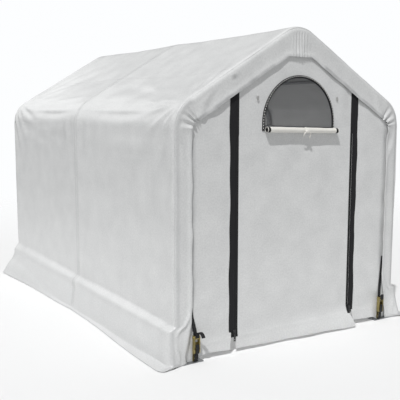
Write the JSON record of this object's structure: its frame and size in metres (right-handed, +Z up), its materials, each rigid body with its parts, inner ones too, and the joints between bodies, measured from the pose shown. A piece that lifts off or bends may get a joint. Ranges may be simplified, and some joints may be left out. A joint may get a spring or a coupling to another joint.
{
  "type": "portable shelter",
  "caption": "Walk-in peak-roof portable shelter: bolted steel tube frame under a white woven cover, with a double-zip roll-up door, half-moon mesh window and corner ratchets.",
  "frame": {"origin": "on the ground at the middle of the floor plan", "axes": "+Z up, -Y towards the door end, +X to the right as seen by someone who faces the door"},
  "size_m": [2.0516, 2.9118, 1.9676],
  "materials": {
    "cover_cloth": "woven reinforced film, translucent white, slightly glossy",
    "insect_mesh": "fine black screen",
    "black_tape": "woven tape, matt",
    "black_webbing": "woven webbing, matt",
    "black_metal": "black lacquer",
    "yellow_zinc": "yellow passivated zinc",
    "bright_zinc": "bright zinc",
    "galvanised_tube": "galvanised, satin"
  },
  "bodies": {
    "shelter": {"cover_hem_front": "cover_cloth", "cover_hem_rear": "cover_cloth", "cover_rails": "cover_cloth", "cover_roof_left": "cover_cloth", "cover_roof_right": "cover_cloth", "cover_skirt_left": "cover_cloth", "cover_skirt_right": "cover_cloth", "cover_wall_left": "cover_cloth", "cover_wall_right": "cover_cloth", "eave_rails": "galvanised_tube", "foot_plates": "galvanised_tube", "frame_bolts": "bright_zinc", "front_panel_left": "cover_cloth", "front_panel_right": "cover_cloth", "gable_panel": "cover_cloth", "leg_front_left": "galvanised_tube", "leg_front_right": "galvanised_tube", "leg_middle_left": "galvanised_tube", "leg_middle_right": "galvanised_tube", "leg_rear_left": "galvanised_tube", "leg_rear_right": "galvanised_tube", "peak_bend_front": "galvanised_tube", "peak_bend_middle": "galvanised_tube", "peak_bend_rear": "galvanised_tube", "purlin_rails": "galvanised_tube", "rail_bolts": "bright_zinc", "ratchet_frames": "yellow_zinc", "rear_panel": "cover_cloth", "ridge_rails": "galvanised_tube", "shoulder_bend_front_left": "galvanised_tube", "shoulder_bend_front_right": "galvanised_tube", "shoulder_bend_middle_left": "galvanised_tube", "shoulder_bend_middle_right": "galvanised_tube", "shoulder_bend_rear_left": "galvanised_tube", "shoulder_bend_rear_right": "galvanised_tube", "tension_straps": "black_webbing", "window_binding": "black_tape", "window_flap": "cover_cloth", "window_mesh": "insect_mesh", "zipper_tapes": "black_tape"},
    "door_panel_1": {"door_panel_1": "cover_cloth"},
    "door_panel_2": {"door_panel_2": "cover_cloth"},
    "door_panel_3": {"door_panel_3": "cover_cloth"},
    "door_panel_4": {"door_panel_4": "cover_cloth"},
    "door_panel_5": {"door_panel_5": "cover_cloth"},
    "door_panel_6": {"door_panel_6": "cover_cloth"},
    "door_panel_7": {"door_panel_7": "cover_cloth"},
    "door_panel_8": {"door_panel_8": "cover_cloth"},
    "zipper_slider_left": {"zipper_slider_left": "black_metal"},
    "zipper_pull_left": {"zipper_pull_left": "black_metal"},
    "zipper_slider_right": {"zipper_slider_right": "black_metal"},
    "zipper_pull_right": {"zipper_pull_right": "black_metal"},
    "ratchet_handle_front_left": {"ratchet_handle_front_left": "yellow_zinc"},
    "ratchet_spool_front_left": {"ratchet_spool_front_left": "yellow_zinc"},
    "ratchet_handle_front_right": {"ratchet_handle_front_right": "yellow_zinc"},
    "ratchet_spool_front_right": {"ratchet_spool_front_right": "yellow_zinc"},
    "ratchet_handle_rear_left": {"ratchet_handle_rear_left": "yellow_zinc"},
    "ratchet_spool_rear_left": {"ratchet_spool_rear_left": "yellow_zinc"},
    "ratchet_handle_rear_right": {"ratchet_handle_rear_right": "yellow_zinc"},
    "ratchet_spool_rear_right": {"ratchet_spool_rear_right": "yellow_zinc"}
  },
  "joints": [
    {"name": "door_roll", "type": "hinge", "parent": "shelter", "child": "door_panel_1", "pos_m": [0, -1.391, 1.3], "axis": [-1, 0, 0], "range_deg": [0, 90]},
    {"name": "door_roll_2", "type": "hinge", "parent": "door_panel_1", "child": "door_panel_2", "pos_m": [0, -1.391, 1.049], "axis": [-1, 0, 0], "range_deg": [0, 90]},
    {"name": "door_roll_3", "type": "hinge", "parent": "door_panel_2", "child": "door_panel_3", "pos_m": [0, -1.391, 0.824], "axis": [-1, 0, 0], "range_deg": [0, 90]},
    {"name": "door_roll_4", "type": "hinge", "parent": "door_panel_3", "child": "door_panel_4", "pos_m": [0, -1.391, 0.625], "axis": [-1, 0, 0], "range_deg": [0, 90]},
    {"name": "door_roll_5", "type": "hinge", "parent": "door_panel_4", "child": "door_panel_5", "pos_m": [0, -1.391, 0.452], "axis": [-1, 0, 0], "range_deg": [0, 90]},
    {"name": "door_roll_6", "type": "hinge", "parent": "door_panel_5", "child": "door_panel_6", "pos_m": [0, -1.391, 0.305], "axis": [-1, 0, 0], "range_deg": [0, 90]},
    {"name": "door_roll_7", "type": "hinge", "parent": "door_panel_6", "child": "door_panel_7", "pos_m": [0, -1.391, 0.184], "axis": [-1, 0, 0], "range_deg": [0, 90]},
    {"name": "door_roll_8", "type": "hinge", "parent": "door_panel_7", "child": "door_panel_8", "pos_m": [0, -1.391, 0.089], "axis": [-1, 0, 0], "range_deg": [0, 90]},
    {"name": "zipper_left", "type": "slide", "parent": "shelter", "child": "zipper_slider_left", "axis": [0, 0, 1], "range_m": [0, 1.37]},
    {"name": "zipper_pull_left_flip", "type": "hinge", "parent": "zipper_slider_left", "child": "zipper_pull_left", "pos_m": [-0.48, -1.4012, 0.119], "axis": [-1, 0, 0], "range_deg": [0, 150]},
    {"name": "zipper_right", "type": "slide", "parent": "shelter", "child": "zipper_slider_right", "axis": [0, 0, 1], "range_m": [0, 1.37]},
    {"name": "zipper_pull_right_flip", "type": "hinge", "parent": "zipper_slider_right", "child": "zipper_pull_right", "pos_m": [0.48, -1.4012, 0.119], "axis": [-1, 0, 0], "range_deg": [0, 150]},
    {"name": "ratchet_handle_front_left_swing", "type": "hinge", "parent": "shelter", "child": "ratchet_handle_front_left", "pos_m": [-0.765, -1.415, 0.15], "axis": [-1, 0, 0], "range_deg": [0, 165]},
    {"name": "ratchet_spool_front_left_turn", "type": "hinge", "parent": "shelter", "child": "ratchet_spool_front_left", "pos_m": [-0.765, -1.415, 0.15], "axis": [-1, 0, 0], "continuous": true},
    {"name": "ratchet_handle_front_right_swing", "type": "hinge", "parent": "shelter", "child": "ratchet_handle_front_right", "pos_m": [0.765, -1.415, 0.15], "axis": [-1, 0, 0], "range_deg": [0, 165]},
    {"name": "ratchet_spool_front_right_turn", "type": "hinge", "parent": "shelter", "child": "ratchet_spool_front_right", "pos_m": [0.765, -1.415, 0.15], "axis": [-1, 0, 0], "continuous": true},
    {"name": "ratchet_handle_rear_left_swing", "type": "hinge", "parent": "shelter", "child": "ratchet_handle_rear_left", "pos_m": [-0.765, 1.415, 0.15], "axis": [1, 0, 0], "range_deg": [0, 165]},
    {"name": "ratchet_spool_rear_left_turn", "type": "hinge", "parent": "shelter", "child": "ratchet_spool_rear_left", "pos_m": [-0.765, 1.415, 0.15], "axis": [1, 0, 0], "continuous": true},
    {"name": "ratchet_handle_rear_right_swing", "type": "hinge", "parent": "shelter", "child": "ratchet_handle_rear_right", "pos_m": [0.765, 1.415, 0.15], "axis": [1, 0, 0], "range_deg": [0, 165]},
    {"name": "ratchet_spool_rear_right_turn", "type": "hinge", "parent": "shelter", "child": "ratchet_spool_rear_right", "pos_m": [0.765, 1.415, 0.15], "axis": [1, 0, 0], "continuous": true}
  ],
  "couplings": [
    {"joint": "door_roll_2", "follows": "door_roll", "ratio": 1},
    {"joint": "door_roll_3", "follows": "door_roll", "ratio": 1},
    {"joint": "door_roll_4", "follows": "door_roll", "ratio": 1},
    {"joint": "door_roll_5", "follows": "door_roll", "ratio": 1},
    {"joint": "door_roll_6", "follows": "door_roll", "ratio": 1},
    {"joint": "door_roll_7", "follows": "door_roll", "ratio": 1},
    {"joint": "door_roll_8", "follows": "door_roll", "ratio": 1}
  ]
}
